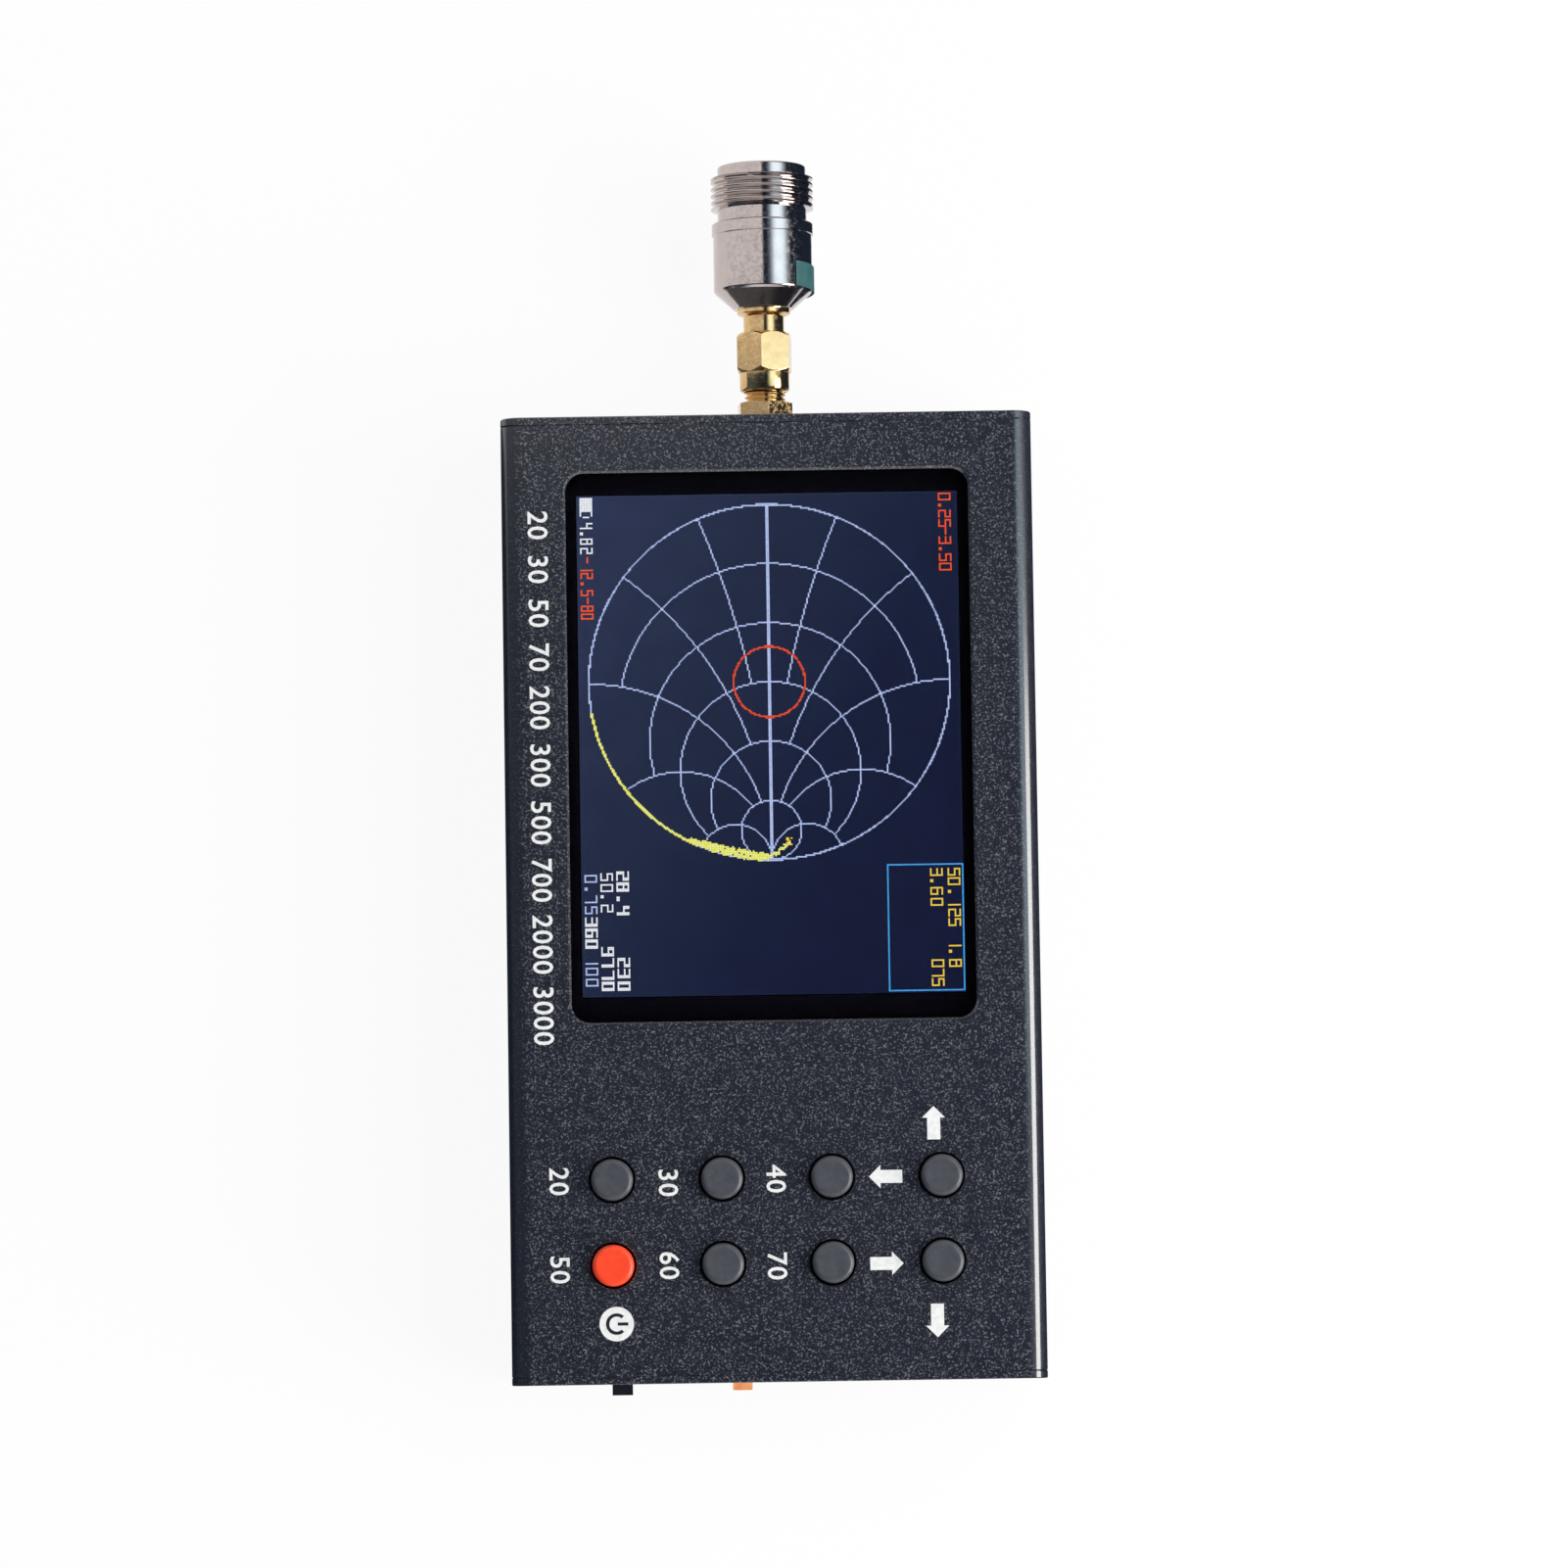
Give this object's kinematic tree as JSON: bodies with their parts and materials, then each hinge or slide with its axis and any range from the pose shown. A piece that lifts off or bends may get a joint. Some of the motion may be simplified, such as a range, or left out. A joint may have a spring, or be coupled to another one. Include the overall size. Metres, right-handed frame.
{
  "type": "antenna analyzer",
  "caption": "Handheld radio-frequency analyzer in a flat extruded metal case with a display window, round keys and a coaxial connector adapter at the top end.",
  "frame": {"origin": "centre of the back face of the case, midway between its end plates", "axes": "+X to the reader's right, +Y along the case towards the coaxial connector, +Z out of the display side"},
  "size_m": [0.081, 0.189, 0.0289],
  "materials": {
    "case_paint": "fine textured powder coat, dark blue grey",
    "screw_steel": "zinc plated",
    "lens_clear": "clear, polished",
    "gasket_black": "black adhesive foam",
    "bezel_steel": "folded sheet",
    "display_glass": "dark blue liquid crystal display",
    "backlight_white": "white diffuser",
    "foam_grey": "closed cell foam",
    "ribbon_film": "amber polyimide film",
    "socket_plastic": "moulded",
    "board_green": "solder mask green",
    "shield_tin": "tin plated sheet",
    "chip_black": "moulded epoxy",
    "battery_foil": "laminated foil pouch",
    "switch_plastic": "moulded",
    "switch_steel": "tin plated",
    "lever_plastic": "moulded black",
    "amber_light": "tinted clear epoxy",
    "gold": "gold plated brass",
    "dielectric": "white fluoropolymer",
    "nickel": "bright nickel plate",
    "spring_bronze": "spring wire",
    "seal_red": "silicone",
    "key_black": "satin moulded",
    "key_red": "satin moulded",
    "plunger_plastic": "moulded"
  },
  "bodies": {
    "case": {"front_case": "case_paint", "back_case": "case_paint", "connector_end_plate": "case_paint", "switch_end_plate": "case_paint", "connector_end_screws": "screw_steel", "switch_end_screws": "screw_steel", "display_lens": "lens_clear", "lens_gasket": "gasket_black", "lcd_frame": "bezel_steel", "lcd_glass": "display_glass", "backlight_plate": "backlight_white", "display_foam_pad": "foam_grey", "lcd_ribbon": "ribbon_film", "display_connector": "socket_plastic", "main_board": "board_green", "rf_shield_can": "shield_tin", "board_chips": "chip_black", "battery_connector": "socket_plastic", "battery_cell": "battery_foil", "battery_pad": "foam_grey", "button_switches": "switch_plastic", "slide_switch_body": "switch_steel", "charge_led": "amber_light", "led_holder": "switch_plastic", "usb_shell": "shield_tin", "usb_tongue": "socket_plastic", "sma_jack": "gold", "sma_jack_insulator": "dielectric", "sma_jack_contact": "gold", "sma_lock_washer": "nickel", "sma_panel_nut": "gold"},
    "upper_key_1_body": {"upper_key_1": "key_black", "upper_plunger_1": "plunger_plastic"},
    "upper_key_2_body": {"upper_key_2": "key_black", "upper_plunger_2": "plunger_plastic"},
    "upper_key_3_body": {"upper_key_3": "key_black", "upper_plunger_3": "plunger_plastic"},
    "upper_key_4_body": {"upper_key_4": "key_black", "upper_plunger_4": "plunger_plastic"},
    "red_key_body": {"red_key": "key_red", "red_plunger": "plunger_plastic"},
    "lower_key_2_body": {"lower_key_2": "key_black", "lower_plunger_2": "plunger_plastic"},
    "lower_key_3_body": {"lower_key_3": "key_black", "lower_plunger_3": "plunger_plastic"},
    "lower_key_4_body": {"lower_key_4": "key_black", "lower_plunger_4": "plunger_plastic"},
    "power_switch": {"slide_switch_lever": "lever_plastic"},
    "adapter": {"adapter_sleeve": "gold", "nut_snap_ring": "spring_bronze", "sma_gasket": "seal_red", "sma_insulator": "dielectric", "sma_pin": "gold", "n_shell": "nickel", "n_insulator": "dielectric", "n_contact": "gold"},
    "nut": {"coupling_nut": "gold"}
  },
  "joints": [
    {"name": "upper_key_1_press", "type": "slide", "parent": "case", "child": "upper_key_1_body", "axis": [0, 0, -1], "range_m": [0, 0.0003], "stiffness_N_per_m": 300, "springref_m": -0.0003},
    {"name": "upper_key_2_press", "type": "slide", "parent": "case", "child": "upper_key_2_body", "axis": [0, 0, -1], "range_m": [0, 0.0003], "stiffness_N_per_m": 300, "springref_m": -0.0003},
    {"name": "upper_key_3_press", "type": "slide", "parent": "case", "child": "upper_key_3_body", "axis": [0, 0, -1], "range_m": [0, 0.0003], "stiffness_N_per_m": 300, "springref_m": -0.0003},
    {"name": "upper_key_4_press", "type": "slide", "parent": "case", "child": "upper_key_4_body", "axis": [0, 0, -1], "range_m": [0, 0.0003], "stiffness_N_per_m": 300, "springref_m": -0.0003},
    {"name": "red_key_press", "type": "slide", "parent": "case", "child": "red_key_body", "axis": [0, 0, -1], "range_m": [0, 0.0003], "stiffness_N_per_m": 300, "springref_m": -0.0003},
    {"name": "lower_key_2_press", "type": "slide", "parent": "case", "child": "lower_key_2_body", "axis": [0, 0, -1], "range_m": [0, 0.0003], "stiffness_N_per_m": 300, "springref_m": -0.0003},
    {"name": "lower_key_3_press", "type": "slide", "parent": "case", "child": "lower_key_3_body", "axis": [0, 0, -1], "range_m": [0, 0.0003], "stiffness_N_per_m": 300, "springref_m": -0.0003},
    {"name": "lower_key_4_press", "type": "slide", "parent": "case", "child": "lower_key_4_body", "axis": [0, 0, -1], "range_m": [0, 0.0003], "stiffness_N_per_m": 300, "springref_m": -0.0003},
    {"name": "power_switch_slide", "type": "slide", "parent": "case", "child": "power_switch", "axis": [1, 0, 0], "range_m": [0, 0.002]},
    {"name": "adapter_slide", "type": "slide", "parent": "case", "child": "adapter", "axis": [0, 1, 0], "range_m": [0, 0.00564]},
    {"name": "nut_turn", "type": "hinge", "parent": "adapter", "child": "nut", "pos_m": [0, 0.0832, 0.0135], "axis": [0, 1, 0], "range_deg": [0, 2881]}
  ],
  "couplings": [
    {"joint": "nut_turn", "follows": "adapter_slide", "rad_per_m": 8905.3}
  ]
}
